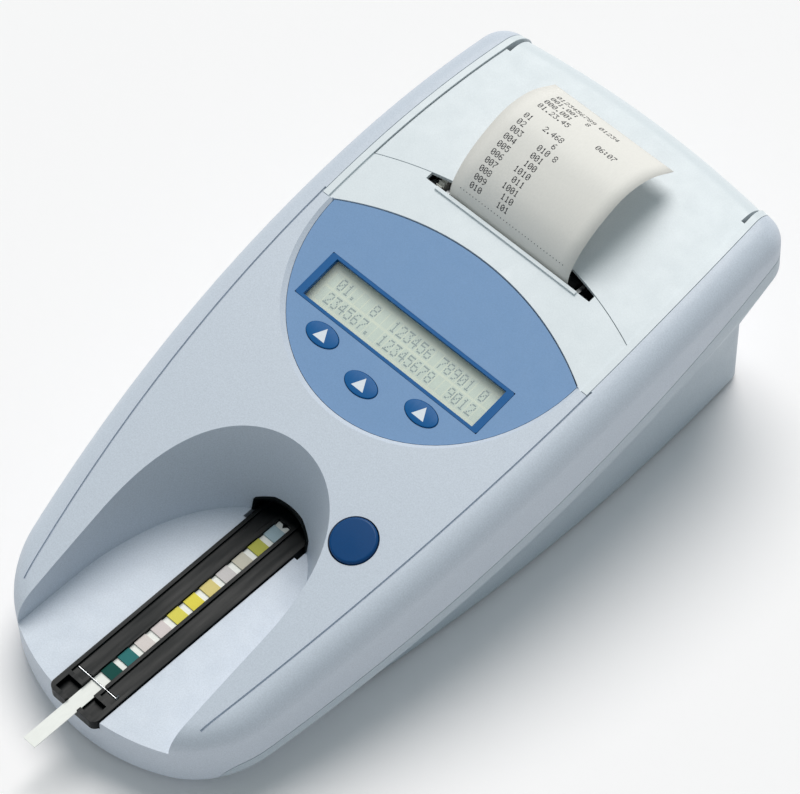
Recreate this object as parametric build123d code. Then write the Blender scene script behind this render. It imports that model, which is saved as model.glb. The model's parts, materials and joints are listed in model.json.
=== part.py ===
from build123d import *

import os
from math import acos, cos, hypot, pi, radians, sin, sqrt, tan

# A bench-top urine test strip reader. X runs across it, +Y points to its rear and +Z up, in
# millimetres. "Station" is the distance behind the front face of the nose, and at() turns a
# station into a Y value. The origin lies under the middle of the whole box, on the bench.

# ---------------------------------------------------------------- housing
body_length = 290.0
body_width = 150.0
wide_station = 198.0            # where the plan is widest
side_radius = 800.0
nose_radius = 85.0
nose_corner_radius = 40.0
rear_radius = 460.0
rear_corner_radius = 12.0
wall = 2.4
foot_height = 2.0
deck_edge_radius = 9.5

# side profile of the deck: two arcs that meet at the junction, and a slight crown across
junction_station = 212.0
junction_height = 81.3
junction_slope = 8.2
front_arc_radius = 1020.0
rear_arc_radius = 462.0
crown_radius = 2400.0

# the narrower tub under the body, and the crease from which the sides draw in to it
tub_width = 129.0
tub_front = 1.5
tub_rear = 274.0
tub_nose_radius = 60.0
tub_nose_corner = 20.0
tub_rear_radius = 1000.0
tub_rear_corner = 6.0
tub_draft = 0.8
crease_height = 5.0             # at the nose
crease_angle = 11.9
tub_height = 3.5                # at the nose
tub_angle = 6.45

# the line where the upper and lower housings meet
parting_height = 9.0            # at the nose
parting_angle = 12.7
parting_start = 18.0            # in front of this the nose is all upper housing
parting_bend = 12.0
parting_gap = 0.35
lip_height = 1.8

groove_inset = 9.7              # decorative groove along each side of the deck
groove_width = 0.8
groove_depth = 0.8
groove_start = 19.0
groove_end = 189.0              # it runs on into the gap beside the printer bay

# ---------------------------------------------------------------- strip recess, tray and strip
floor_height = 22.6
recess_half_width = 38.0
recess_straight = 35.0          # station where the straight sides of the floor end
recess_end = 103.0
recess_top_height = 66.0
recess_top_half_width = 40.8
recess_top_straight = 71.0
recess_top_end = 112.5
recess_wall = 2.0

tray_width = 23.4
tray_front = -1.2
tray_end = 126.0
tray_top = 23.6
tray_thickness = 4.7
tray_gap = 0.4
tray_travel = 80.0

strip_width = 5.7
strip_thickness = 0.4
strip_seat = 21.7
handle_overhang = 20.6
first_pad = 15.6
pad_pitch = 7.79
pad_length = 5.3
pad_thickness = 0.6
pad_count = 11
clip_station = 11.6
clip_radius = 0.35

hood_half_width = 13.4
hood_side_height = 27.9
hood_top_height = 30.6
hood_top_half_width = 6.8
hood_wall = 1.2
hood_front = 94.0
hood_rear = 106.6
hood_proud = 0.8

# ---------------------------------------------------------------- display panel and keys
panel_station = 162.3
panel_recess = 2.0
panel_thickness = 1.5
panel_half_width = 59.5
panel_centre_station = 189.0
panel_depth = 62.5              # front half of the ellipse, along the slope
panel_gap = 0.2
panel_ledge = 1.8
rim_angle = 52.0
display_width = 88.8
display_height = 19.9
window_width = 82.8
window_height = 17.5
window_thickness = 1.2
window_sheet_width = 87.4
window_sheet_height = 20.6
glass_width = 85.0
glass_height = 20.0
glass_thickness = 2.2
glass_drop = 2.4
frame_width = 88.4
frame_height = 21.6
lcd_board_width = 104.0
lcd_board_height = 30.4
board_thickness = 1.6
key_spacing = 24.3
key_station = 146.3
middle_key_station = 141.1
key_width = 14.2
key_height = 8.2
key_proud = 0.45
key_gap = 0.2
key_flange = 0.7
key_length = 3.6
key_travel = 0.35
dome_radius = 3.0
dome_height = 0.9
dome_clearance = 0.5

button_x = 39.6
button_station = 98.0
button_radius = 8.6
button_gap = 0.5
button_proud = 0.9
button_flange = 1.6
button_flat = 13.0              # the flange is cut flat beside the recess
button_travel = 1.5

# ---------------------------------------------------------------- printer bay
bay_inset = 10.3                # from the outline of the body to the edge of the bay
bay_gap = 0.25
bay_front = 186.8
panel_arc_half_chord = 60.0
panel_arc_station = 187.3
panel_arc_rise = 15.4
bay_step = 0.8                  # the bay's middle lies lower than its rails
rail_inset = 13.2
ledge_width = 2.2
ledge_thickness = 2.0
cover_arc_half_chord = 61.4
cover_arc_station = 210.1
cover_arc_rise = 12.0
cover_gap = 0.3
cover_trim = 0.2                # round the hinge the lid's sides stand this far behind its cheeks
slot_front = 214.3
slot_half_width = 39.7
ridge_half_width = 34.0
ridge_width = 1.3
hinge_reach = deck_edge_radius + 0.4    # the cover's rear edge turns inside this radius
hinge_gap = 0.3
cheek_radius = 7.8
cheek_thickness = 3.0
pin_radius = 0.8
pin_clearance = 0.05
pin_depth = 5.0
lug_front = 8.0
lug_depth = 4.0

paper_width = 57.5
paper_thickness = 0.16
roll_radius = 20.0
roll_core_radius = 6.0
roll_station = 253.5
roll_height = 56.0
cradle_gap = 0.3
cradle_thickness = 1.6

platen_radius = 5.5
platen_station = 219.0
platen_height = 70.0
platen_length = 58.0
shaft_radius = 2.0
shaft_clearance = 0.05
chassis_front = 205.0
chassis_rear = 232.0
chassis_bottom = 58.0
chassis_top = 76.4
chassis_half_width = 32.5
chassis_plate = 1.5
gear_space = 5.5
head_thickness = 2.0
sink_thickness = 5.0

# ---------------------------------------------------------------- transport
gear_thickness = 2.6
rack_module = 0.8
pinion_teeth = 16
fine_module = 0.5
wheel_teeth = 40
motor_teeth = 12
platen_teeth = 30
backlash = 0.2
pinion_station = 118.0
guide_front = 108.0
guide_rear = 212.0
guide_thickness = 2.0
guide_gap = 0.25
guide_wall = 1.9
axle_radius = 1.5
axle_clearance = 0.05
motor_radius = 10.0
motor_height = 16.0
motor_plate_height = 28.2

head_front = 142.0
head_rear = 168.0
head_bottom = 32.0
head_height = 14.0
lens_radius = 4.0
lens_bottom = 25.4

# ---------------------------------------------------------------- electronics and fasteners
main_board_height = 8.0
main_board_half_width = 48.0
main_board_front = 226.0
socket_gap = 1.2                # the rear wall bows in towards its corners
dc_x = 32.0
dc_width = 11.0
dc_height = 11.0
dc_depth = 14.0
dc_bore = 3.1
serial_x = 0.0
serial_width = 31.0
serial_height = 12.5
serial_depth = 10.0
serial_shell_width = 17.0
serial_shell_height = 8.4
port_x = -32.0
port_width = 14.0
port_height = 13.0
port_radius = 4.8

foot_radius = 6.0
foot_seat = 1.0
foot_places = ((43.0, 42.0), (50.0, 256.0))
screw_places = ((47.0, 76.0), (57.0, 225.0))
screw_radius = 1.5
screw_head_radius = 2.8
screw_head_height = 2.0
screw_length = 18.0
boss_radius = 4.5
boss_top = 14.0
screw_seat = 10.0

nose_y = -(body_length + handle_overhang) / 2 + handle_overhang
tray_bottom = tray_top - tray_thickness
channel_half_width = tray_width / 2 + tray_gap
channel_floor = tray_bottom - tray_gap + 0.1
tub_floor = foot_height + wall
deck_low = 55.0                 # under the rear deck, above the floor
span = 400.0                    # longer than the body, for cutters


# ---------------------------------------------------------------- geometry helpers
def at(station):
    return nose_y + station


def block(x, station, z):
    """A box from ranges in X, in stations and in Z."""
    size = (x[1] - x[0], station[1] - station[0], z[1] - z[0])
    centre = ((x[0] + x[1]) / 2, at((station[0] + station[1]) / 2), (z[0] + z[1]) / 2)
    return Pos(*centre) * Box(*size)


def rod(x, station, z, radius):
    """An upright cylinder over a range of Z."""
    return Pos(x, at(station), (z[0] + z[1]) / 2) * Cylinder(radius, z[1] - z[0])


def cross_rod(x, station, height, radius):
    """A cylinder along X over a range of X."""
    return Pos((x[0] + x[1]) / 2, at(station), height) * (Rot(0, 90, 0) * Cylinder(radius, x[1] - x[0]))


def rear_rod(x, station, height, radius):
    """A cylinder along Y over a range of stations."""
    length = station[1] - station[0]
    return Pos(x, at((station[0] + station[1]) / 2), height) * (Rot(90, 0, 0) * Cylinder(radius, length))


def mirrored(solid):
    return solid + mirror(solid, about=Plane.YZ)


def deck_arc(station):
    """Centre and radius, in stations and Z, of the deck's arc at a station."""
    radius = front_arc_radius if station < junction_station else rear_arc_radius
    slope = radians(junction_slope)
    return junction_station + radius * sin(slope), junction_height - radius * cos(slope), radius


def deck_height(station, x=0.0):
    centre, height, radius = deck_arc(station)
    return height + sqrt(radius ** 2 - (station - centre) ** 2) - x ** 2 / (2 * crown_radius)


def deck_plane(x, station, drop=0.0):
    """A plane on the deck, sunk by drop, with its Z square to the deck."""
    centre, _, radius = deck_arc(station)
    lean = (station - centre) / radius
    normal = (0, lean, sqrt(1 - lean ** 2))
    top = deck_height(station, x)
    origin = (x, at(station) - normal[1] * drop, top - normal[2] * drop)
    return Plane(origin=origin, x_dir=(1, 0, 0), z_dir=normal)


def tilted(height, angle):
    """A plane that has the given height at the nose and rises to the rear."""
    lean = radians(angle)
    return Plane(origin=(0, at(0), height), x_dir=(1, 0, 0), z_dir=(0, -sin(lean), cos(lean)))


def circle_meet(centre_a, radius_a, centre_b, radius_b, rearmost):
    """One of the two points where two circles meet."""
    gap = hypot(centre_b[0] - centre_a[0], centre_b[1] - centre_a[1])
    along = (radius_a ** 2 - radius_b ** 2 + gap ** 2) / (2 * gap)
    across = sqrt(radius_a ** 2 - along ** 2)
    ux, uy = (centre_b[0] - centre_a[0]) / gap, (centre_b[1] - centre_a[1]) / gap
    points = [
        (centre_a[0] + along * ux - side * across * uy, centre_a[1] + along * uy + side * across * ux)
        for side in (1, -1)
    ]
    points.sort(key=lambda point: point[1])
    return points[-1] if rearmost else points[0]


def outline(width, front, rear, front_radius, back_radius, front_corner, rear_corner, inset):
    """A plan of four arcs with rounded corners, drawn in by inset all round."""
    side = (width / 2 - side_radius, at(wide_station))
    nose = (0.0, at(front) + front_radius)
    tail = (0.0, at(rear) - back_radius)
    flank = side_radius - inset
    front_x, front_y = circle_meet(side, flank, nose, front_radius - inset, False)
    rear_x, rear_y = circle_meet(side, flank, tail, back_radius - inset, True)
    half = width / 2 - inset
    arcs = [
        ThreePointArc((-front_x, front_y), (0, at(front) + inset), (front_x, front_y)),
        ThreePointArc((front_x, front_y), (half, at(wide_station)), (rear_x, rear_y)),
        ThreePointArc((rear_x, rear_y), (0, at(rear) - inset), (-rear_x, rear_y)),
        ThreePointArc((-rear_x, rear_y), (-half, at(wide_station)), (-front_x, front_y)),
    ]
    face = make_face(arcs)
    face = fillet(face.vertices().sort_by(Axis.Y)[:2], front_corner - inset)
    return fillet(face.vertices().sort_by(Axis.Y)[-2:], max(rear_corner - inset, 1.5))


def plan(inset=0.0):
    return outline(body_width, 0.0, body_length, nose_radius, rear_radius,
                   nose_corner_radius, rear_corner_radius, inset)


def flanks(inset, front, rear):
    """The plan between the two long side arcs only, from one station to another."""
    radius = side_radius - inset
    away = side_radius - body_width / 2
    right = Pos(-away, at(wide_station)) * Circle(radius)
    left = Pos(away, at(wide_station)) * Circle(radius)
    return right & left & stations(front, rear)


def tub_plan(inset=0.0):
    return outline(tub_width, tub_front, tub_rear, tub_nose_radius, tub_rear_radius,
                   tub_nose_corner, tub_rear_corner, inset)


def deck_envelope(inset):
    """All that lies under the deck's surface, sunk by inset: two turned sectors."""
    slope = radians(junction_slope)
    depth = 140.0
    joint = Plane(origin=(0, at(junction_station), junction_height), x_dir=(1, 0, 0),
                  z_dir=(0, -cos(slope), -sin(slope)))
    crown = Pos(0, -crown_radius) * Circle(crown_radius - inset)
    section = joint * (crown & Pos(0, -depth / 2) * Rectangle(body_width + 50, depth + 20))

    def sector(radius, turn, angle):
        centre = (0, at(junction_station) + radius * sin(slope), junction_height - radius * cos(slope))
        return revolve(section, axis=Axis(centre, (turn, 0, 0)), revolution_arc=angle)

    return sector(front_arc_radius, 1, 14.5) + sector(rear_arc_radius, -1, 12.0)


def body_form(inset):
    """The whole body as one solid, drawn in by inset: the outside at 0, the cavity at wall."""
    block_height = 130.0
    prism = extrude(plan(inset), amount=block_height)
    top = prism & deck_envelope(inset)

    def on_deck_rim(edge):
        middle = edge @ 0.5
        upright = abs((edge % 0.5).Z) > 0.5
        across = abs(middle.X) < 1 and abs(middle.Y - at(junction_station)) < 3
        return min(vertex.Z for vertex in edge.vertices()) > 15 and not upright and not across

    top = fillet(top.edges().filter_by(on_deck_rim), deck_edge_radius - inset)
    crease = tilted(crease_height, crease_angle)
    shoulder = tilted(tub_height + inset / 2, tub_angle)
    sheet = Rectangle(span, 2.5 * span)
    crease_face = (prism & crease * sheet).faces()[0]
    tub_prism = extrude(tub_plan(inset - tub_draft), amount=block_height)
    shoulder_face = (tub_prism & shoulder * sheet).faces()[0]
    bottom_face = (Pos(0, 0, foot_height + inset) * tub_plan(inset)).faces()[0]
    band = split(top, bisect_by=crease, keep=Keep.TOP)
    flare = loft([shoulder_face, crease_face], ruled=True)
    tub = loft([bottom_face, shoulder_face], ruled=True)
    return band + flare + tub


def below_parting(drop=0.0):
    """Everything under the parting surface, sunk by drop."""
    rise = tan(radians(parting_angle))
    corner = (at(parting_start), parting_height + rise * parting_start - drop)
    far = (at(body_length + 20), parting_height + rise * (body_length + 20) - drop)
    side = Plane.YZ * make_face(Polyline((corner[0], -20), corner, far, (far[0], -20), close=True))
    solid = extrude(side, amount=body_width, both=True)
    bend = [edge for edge in solid.edges()
            if abs((edge @ 0.5).Y - corner[0]) < 0.01 and abs((edge @ 0.5).Z - corner[1]) < 0.01]
    return fillet(bend, parting_bend)


def arc_disc(half_chord, station, rise, grow=0.0):
    """The plan disc whose rear edge is an arc across the deck."""
    radius = (half_chord ** 2 + rise ** 2) / (2 * rise)
    return Pos(0, at(station + rise) - radius) * Circle(radius + grow)


def panel_disc(grow=0.0):
    return arc_disc(panel_arc_half_chord, panel_arc_station, panel_arc_rise, grow)


def cover_disc(grow=0.0):
    return arc_disc(cover_arc_half_chord, cover_arc_station, cover_arc_rise, grow)


def stations(front, rear):
    """A plan rectangle across the whole body between two stations."""
    return Pos(0, at((front + rear) / 2)) * Rectangle(span, rear - front)


def column(face, low=-10.0):
    """A plan face as an upright prism from low to above the body."""
    return extrude(Pos(0, 0, low) * face, amount=150)


def gear_face(module, teeth, turn=0.0):
    """A spur gear with involute flanks and a tooth pointing along +X, turned by turn degrees."""
    pressure = radians(20)
    pitch_radius = module * teeth / 2
    base = pitch_radius * cos(pressure)
    root = pitch_radius - 1.2 * module
    tip = pitch_radius + 0.9 * module
    half = (pi * module / 2 - backlash / 2) / 2 / pitch_radius
    half_at_base = half + tan(pressure) - pressure
    flank = [(root, half_at_base)] if root < base else []
    steps = 4
    low = max(base, root)
    for step in range(steps + 1):
        radius = low + (tip - low) * step / steps
        roll = acos(min(1.0, base / radius))
        flank.append((radius, half_at_base - (tan(roll) - roll)))
    points = []
    for tooth in range(teeth):
        middle = 2 * pi * tooth / teeth + radians(turn)
        for radius, angle in flank:
            points.append((radius * cos(middle - angle), radius * sin(middle - angle)))
        for radius, angle in reversed(flank):
            points.append((radius * cos(middle + angle), radius * sin(middle + angle)))
    return make_face(Polyline(*points, close=True))


# ---------------------------------------------------------------- shared forms
outside = body_form(0.0)
sunk_deck = body_form(bay_step)
inside = body_form(wall)
inner_ledge = body_form(wall + ledge_thickness)
parts = {}

panel_plane = deck_plane(0, panel_station, panel_recess)
panel_lean = panel_plane.z_dir.Z


def on_panel(x, station):
    """A point of the plan as local coordinates of the panel's plane."""
    return x, (station - panel_station) / panel_lean


def panel_solid(face, low, high):
    """A face in the panel's own coordinates, as a solid between two heights above the panel."""
    return extrude(panel_plane * (Pos(0, 0, low) * face), amount=high - low)


def panel_face(grow=0.0):
    """The ellipse whose front part outlines the panel; the bridge's arc ends it behind."""
    middle = on_panel(0, panel_centre_station)[1]
    return Pos(0, middle) * Ellipse(panel_half_width + grow, panel_depth + grow)


def recess_form(grow=0.0):
    """The scooped recess over the tray, opened out by grow."""
    def ring(half_width, straight, end, height):
        front = at(-30)
        side = at(straight)
        half = half_width + grow
        depth = end - straight + grow
        edges = [
            Line((-half, front), (half, front)),
            Line((half, front), (half, side)),
            EllipticalCenterArc((0, side), half, depth, start_angle=0, arc_size=90),
            EllipticalCenterArc((0, side), half, depth, start_angle=90, arc_size=90),
            Line((-half, side), (-half, front)),
        ]
        return (Pos(0, 0, height) * make_face(edges)).faces()[0]

    low = ring(recess_half_width, recess_straight, recess_end, floor_height - max(grow, 0))
    high = ring(recess_top_half_width, recess_top_straight, recess_top_end, recess_top_height)
    return loft([low, high], ruled=True)


def hood_face(shrink=0.0):
    """The arch of the tray's hood in the XZ plane."""
    half, top = hood_half_width - shrink, hood_top_height - shrink
    shoulder, flat = hood_side_height - shrink / 2, hood_top_half_width - shrink / 3
    points = [(-half, channel_floor), (-half, shoulder), (-flat, top), (flat, top), (half, shoulder),
              (half, channel_floor)]
    return Plane.XZ * make_face(Polyline(*points, close=True))


def hood_solid(shrink, front, rear):
    return extrude(Pos(0, at(front), 0) * hood_face(shrink), amount=-(rear - front))


# ---------------------------------------------------------------- places that several pieces share
pinion_x = -(tray_width / 2 - rack_module + rack_module * pinion_teeth / 2)
motor_x = pinion_x - fine_module * (wheel_teeth + motor_teeth) / 2
guide_top = tray_bottom - guide_gap
guide_half_width = tray_width / 2 + guide_gap + guide_wall
wheel_bottom = tray_top + 2.0
motor_posts = ((motor_x - 9.0, pinion_station - 10.0), (motor_x - 9.0, pinion_station + 10.0))
guide_posts = ((10.0, 113.0), (10.0, 205.0))
chassis_posts = ((34.0, 208.5), (34.0, 228.5))
cradle_posts = ((24.0, roll_station),)
board_posts = ((43.0, 231.0), (43.0, 264.0))
chassis_left = -chassis_half_width - gear_space - chassis_plate
cradle_bottom = roll_height - roll_radius - cradle_gap - cradle_thickness
socket_rear = tub_rear - wall - socket_gap
button_plane = deck_plane(button_x, button_station)
button_posts = ((11.5, 8.5), (11.5, -8.5))
switch_board_depth = 12.0
hinge_station = body_length - deck_edge_radius
hinge_height = deck_height(hinge_station) - deck_edge_radius
beyond = body_length + 10
motor_turn = 180.0 + 35.0
printer_distance = fine_module * (platen_teeth + motor_teeth) / 2
printer_motor_station = platen_station + printer_distance * cos(radians(motor_turn))
printer_motor_height = platen_height + printer_distance * sin(radians(motor_turn))
printer_gear_x = -chassis_half_width - gear_space + 1.0


def button_solid(face, low, high):
    return extrude(button_plane * (Pos(0, 0, low) * face), amount=high - low)


# ---------------------------------------------------------------- housings
def upper_housing():
    shell = (outside - inside) - below_parting()
    scoop = (recess_form(recess_wall) & outside)
    trough_half = channel_half_width + recess_wall
    trough = block((-trough_half, trough_half), (-5, recess_end + 2),
                   (channel_floor - recess_wall, floor_height)) & outside
    seat = panel_solid(panel_face(panel_ledge), -panel_thickness - ledge_thickness, 8) & outside
    seat -= column(stations(panel_arc_station - 40, body_length) - panel_disc(-panel_ledge))
    ledge_ring = (plan(bay_inset - ledge_width) - plan(bay_inset + ledge_width)) & stations(bay_front - 4, 268)
    ledge = (inside - inner_ledge) & column(ledge_ring, deck_low)
    shell = shell + scoop + trough + seat + ledge
    for x, station in screw_places:
        post = rod(x, station, (boss_top + 0.2, deck_height(station)), boss_radius - 0.5) & inner_ledge
        rib = block((x, body_width / 2), (station - 1, station + 1), (56, 90)) & inner_ledge
        if station < panel_station:
            rib = rod(x, station, (40, deck_height(station)), boss_radius - 0.5) & inside
        post = post + rib - rod(x, station, (0, screw_seat + screw_length - screw_head_height), screw_radius)
        shell += mirrored(post)
    for x, y in button_posts:
        boss = button_solid(Pos(x, y) * Circle(2.0), -switch_board_depth + board_thickness, -wall / 2)
        shell += boss
    shell -= recess_form()
    shell -= block((-channel_half_width, channel_half_width), (-10, recess_end + 6),
                   (channel_floor, floor_height + 1))
    shell -= hood_solid(-0.15, hood_front, hood_rear + 6)
    rim_height = 6.0
    rim = loft([panel_plane * panel_face(),
                panel_plane.offset(rim_height) * panel_face(rim_height * tan(radians(rim_angle)))], ruled=True)
    shell -= rim & column(stations(0, panel_arc_station))
    shell -= panel_solid(panel_face(), -panel_thickness, rim_height)
    shell -= panel_solid(panel_face(-panel_ledge), -10, 1)
    shell -= bay_cut() + column(flanks(bay_inset, hinge_station, beyond), deck_low)
    hole = button_solid(Circle(button_radius + button_gap), -8, 5)
    shell -= hole
    ring = flanks(groove_inset, groove_start, groove_end) - flanks(groove_inset + groove_width, 0, body_length)
    skin = outside - body_form(groove_depth)
    shell -= column(ring) & skin & mirrored(block((20, 90), (0, body_length), (0, 120)))
    return shell


def rear_reach(radius):
    """All above the cover's hinge, and what lies within a radius of it."""
    above = block((-span, span), (0, beyond + 20), (hinge_height, span))
    return above + cross_rod((-span, span), hinge_station, hinge_height, radius)


def bay_cut():
    """The opening of the printer bay, through the deck and over the rear edge."""
    bay = flanks(bay_inset, bay_front, beyond) - panel_disc()
    return (column(bay, deck_low) & rear_reach(hinge_reach + hinge_gap)) + bay_corners(bay)


def bay_corners(bay):
    """The skin of the bay in front of the cover, also where the deck lies lower than the hinge."""
    return column(bay & stations(0, cover_arc_station), deck_low) - inside


def lower_housing():
    shell = (outside - inside) & below_parting(parting_gap)
    lip_zone = below_parting(-lip_height) - below_parting(0.5)
    lip_zone &= block((-span, span), (parting_start + parting_bend + 6, span), (0, 120))
    shell += (inside - inner_ledge) & lip_zone
    base = foot_height + wall / 2
    for x, station in screw_places:
        shell += mirrored(rod(x, station, (foot_height, boss_top), boss_radius))
        shell -= mirrored(rod(x, station, (0, screw_seat), screw_head_radius + 0.4))
        shell -= mirrored(rod(x, station, (0, 20), screw_radius + 0.2))
    for x, station in foot_places:
        shell += mirrored(rod(x, station, (foot_height + foot_seat / 2, tub_floor + 1), foot_radius + 1.5))
        shell -= mirrored(rod(x, station, (0, foot_height + foot_seat), foot_radius + 0.05))
    for places, height, radius in (
        (guide_posts, guide_top - guide_thickness, 3.0),
        (chassis_posts, chassis_bottom, 3.5),
        (cradle_posts, cradle_bottom + 1.0, 3.5),
        (board_posts, main_board_height, 2.5),
    ):
        for x, station in places:
            shell += mirrored(rod(x, station, (base, height), radius))
    for x, station in motor_posts:
        shell += rod(x, station, (base, motor_plate_height), 3.0)
    shell -= rear_rod(dc_x, (tub_rear - 8, tub_rear + 8), main_board_height + board_thickness + dc_height / 2,
                      dc_bore + 1.2)
    middle = main_board_height + board_thickness + serial_height / 2
    shell -= block((serial_x - serial_shell_width / 2 - 0.3, serial_x + serial_shell_width / 2 + 0.3),
                   (tub_rear - 8, tub_rear + 8),
                   (middle - serial_shell_height / 2 - 0.3, middle + serial_shell_height / 2 + 0.3))
    shell -= rear_rod(port_x, (tub_rear - 8, tub_rear + 8),
                      main_board_height + board_thickness + port_height / 2, port_radius + 0.3)
    return shell - cross_cradle_cut() - bay_cut()


def cross_cradle_cut():
    """Room for the cradle's round bottom on top of its posts."""
    return cross_rod((-span, span), roll_station, roll_height, roll_radius + cradle_gap + cradle_thickness) \
        & block((-30, 30), (roll_station - 30, roll_station + 30), (20, 50))


def printer_bridge():
    bay = flanks(bay_inset + bay_gap, bay_front + bay_gap, beyond) - panel_disc(bay_gap)
    reach = rear_reach(hinge_reach)
    plate = (outside - inside) & ((column(bay, deck_low) & reach) + bay_corners(bay))
    centre = flanks(rail_inset, bay_front - 5, beyond) - panel_disc(bay_gap)
    ridge = Pos(0, at(slot_front - 0.2 - ridge_width / 2)) * Rectangle(2 * ridge_half_width, ridge_width)
    plate -= column(centre - ridge, deck_low) & (outside - sunk_deck)
    plate -= column(flanks(rail_inset, cover_arc_station - 5, beyond) - cover_disc())
    plate -= column(Pos(0, at(slot_front + 5)) * Rectangle(2 * slot_half_width, 10))
    lip_ring = (panel_disc(ledge_width) - panel_disc(-ledge_width)) & stations(bay_front + 2, body_length)
    lip_ring &= Pos(0, at(panel_arc_station)) * Rectangle(2 * panel_arc_half_chord - 12, 60)
    wall_ring = lip_ring - panel_disc(panel_gap + 0.2)
    sheet = Rectangle(span, span)
    low = -panel_thickness - ledge_thickness
    under = column(lip_ring) & panel_solid(sheet, low, -panel_thickness)
    web = column(wall_ring) & panel_solid(sheet, low + 1, 20) & inside
    rails = flanks(bay_inset + bay_gap, hinge_station - lug_front, beyond) \
        - flanks(rail_inset, hinge_station - lug_front, beyond)
    lugs = column(rails, hinge_height - lug_depth) & outside
    plate = plate + under + web + lugs
    return plate - cross_rod((-span, span), hinge_station, hinge_height, pin_radius)


def printer_cover():
    lid_plan = flanks(rail_inset + cover_gap, cover_arc_station - 5, beyond) - cover_disc(cover_gap)
    lid = (sunk_deck - inside) & column(lid_plan, deck_low) & rear_reach(hinge_reach)
    edge = cover_edge()
    cheek = cross_rod((edge - cheek_thickness, edge), hinge_station, hinge_height, cheek_radius) & sunk_deck
    lid += mirrored(cheek)
    trim = (edge - cover_trim, edge + 5)
    lid -= mirrored(cross_rod(trim, hinge_station, hinge_height, hinge_reach + cover_gap))
    return lid - cross_rod((-span, span), hinge_station, hinge_height, pin_radius + pin_clearance)


def cover_edge():
    """Half the cover's width at the front of its cheeks, where it is widest."""
    away = hinge_station + cheek_radius - wide_station
    return body_width / 2 - side_radius + sqrt((side_radius - rail_inset - cover_gap) ** 2 - away ** 2)


def hinge_pins():
    edge = cover_edge()
    rail = rail_inset - bay_inset - bay_gap
    pin = cross_rod((edge - pin_depth, edge + cover_gap + rail), hinge_station, hinge_height, pin_radius)
    return mirrored(pin)


parts["upper_housing"] = upper_housing()
parts["lower_housing"] = lower_housing()
parts["printer_bridge"] = printer_bridge()
parts["printer_cover"] = printer_cover()
parts["cover_hinge_pins"] = hinge_pins()
parts["tray_hood"] = (hood_solid(0, hood_front, hood_rear)
                      - hood_solid(hood_wall, hood_front - 1, hood_rear + 1)
                      - block((-20, 20), (80, 120), (0, floor_height))
                      - recess_form(-hood_proud))


# ---------------------------------------------------------------- display panel, keys and button
def key_places():
    return (("soft_key_left", -key_spacing, key_station), ("soft_key_middle", 0.0, middle_key_station),
            ("soft_key_right", key_spacing, key_station))


def key_face(x, station, grow=0.0):
    return Pos(*on_panel(x, station)) * Ellipse(key_width / 2 + grow, key_height / 2 + grow)


def display_panel():
    panel = panel_solid(panel_face(-panel_gap), -panel_thickness, 0) & column(panel_disc(-panel_gap))
    panel -= panel_solid(Rectangle(display_width + panel_gap, display_height + panel_gap), -5, 5)
    for _, x, station in key_places():
        panel -= panel_solid(key_face(x, station, key_gap), -5, 5)
    for side in (-1, 1):
        boss = Pos(*on_panel(side * key_spacing / 2, key_station - 2.5)) * Circle(1.4)
        panel += panel_solid(boss, keypad_top(), -panel_thickness)
    return panel


def keypad_top():
    """Height of the keypad board's upper face above the panel's surface."""
    return key_proud - key_length - dome_clearance - dome_height


def display_frame():
    edge = RectangleRounded(display_width, display_height, 1.0) - Rectangle(window_width, window_height)
    return panel_solid(edge, -panel_thickness, 0.12)


def soft_key(x, station):
    bottom = key_proud - key_length
    key = panel_solid(key_face(x, station), bottom, key_proud)
    key = fillet(key.faces().sort_by(Axis.Z)[-1].edges(), 0.3)
    return key + panel_solid(key_face(x, station, key_flange), bottom, -panel_thickness - key_travel - 0.1)


window_bottom = -panel_thickness - window_thickness
glass_top = window_bottom - glass_drop + 1.2
glass_bottom = glass_top - glass_thickness
parts["display_panel"] = display_panel()
parts["display_frame"] = display_frame()
parts["display_window"] = panel_solid(Rectangle(window_sheet_width, window_sheet_height),
                                      window_bottom, -panel_thickness)
parts["lcd_glass"] = panel_solid(Rectangle(glass_width, glass_height), glass_bottom, glass_top)
parts["lcd_frame"] = panel_solid(Rectangle(frame_width, frame_height)
                                 - Rectangle(glass_width + 0.3, glass_height + 0.3),
                                 glass_bottom, window_bottom)
lcd_board_middle = (lcd_board_height - frame_height) / 2
lcd_holes = [Pos(x, y) * Circle(1.25) for x in (-49.5, 49.5) for y in (-8.5, 16.0)]
parts["lcd_board"] = panel_solid(Pos(0, lcd_board_middle) * Rectangle(lcd_board_width, lcd_board_height)
                                 - lcd_holes, glass_bottom - board_thickness, glass_bottom)
for name, x, station in key_places():
    parts[name] = soft_key(x, station)
keypad_y = on_panel(0, key_station)[1] - 2.4
parts["keypad_board"] = panel_solid(Pos(0, keypad_y) * Rectangle(68, 13.6),
                                    keypad_top() - board_thickness, keypad_top())
parts["key_domes"] = Compound([
    panel_solid(Pos(*on_panel(x, station)) * Circle(dome_radius), keypad_top(), keypad_top() + dome_height)
    .solids()[0] for _, x, station in key_places()])


def start_button():
    flange_top = -wall - 0.7
    flange_bottom = flange_top - 1.4
    button = button_solid(Circle(button_radius), flange_bottom, button_proud)
    button = fillet(button.faces().sort_by(Axis.Z)[-1].edges(), 1.0)
    flange = Circle(button_radius + button_flange)
    flange &= Rot(0, 0, 45) * (Pos(button_flat, 0) * Rectangle(40, 40))
    return button + button_solid(flange, flange_bottom, flange_top)


button_bottom = -wall - 0.7 - 1.4
switch_top = button_bottom - button_travel - 0.1
parts["start_button"] = start_button()
parts["start_switch"] = (button_solid(Rectangle(12, 12), -switch_board_depth + board_thickness, switch_top - 1.6)
                         + button_solid(Circle(1.7), switch_top - 1.6, switch_top))
parts["switch_board"] = button_solid(Pos(4.2, 0) * Rectangle(19.5, 21), -switch_board_depth,
                                     -switch_board_depth + board_thickness)


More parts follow.
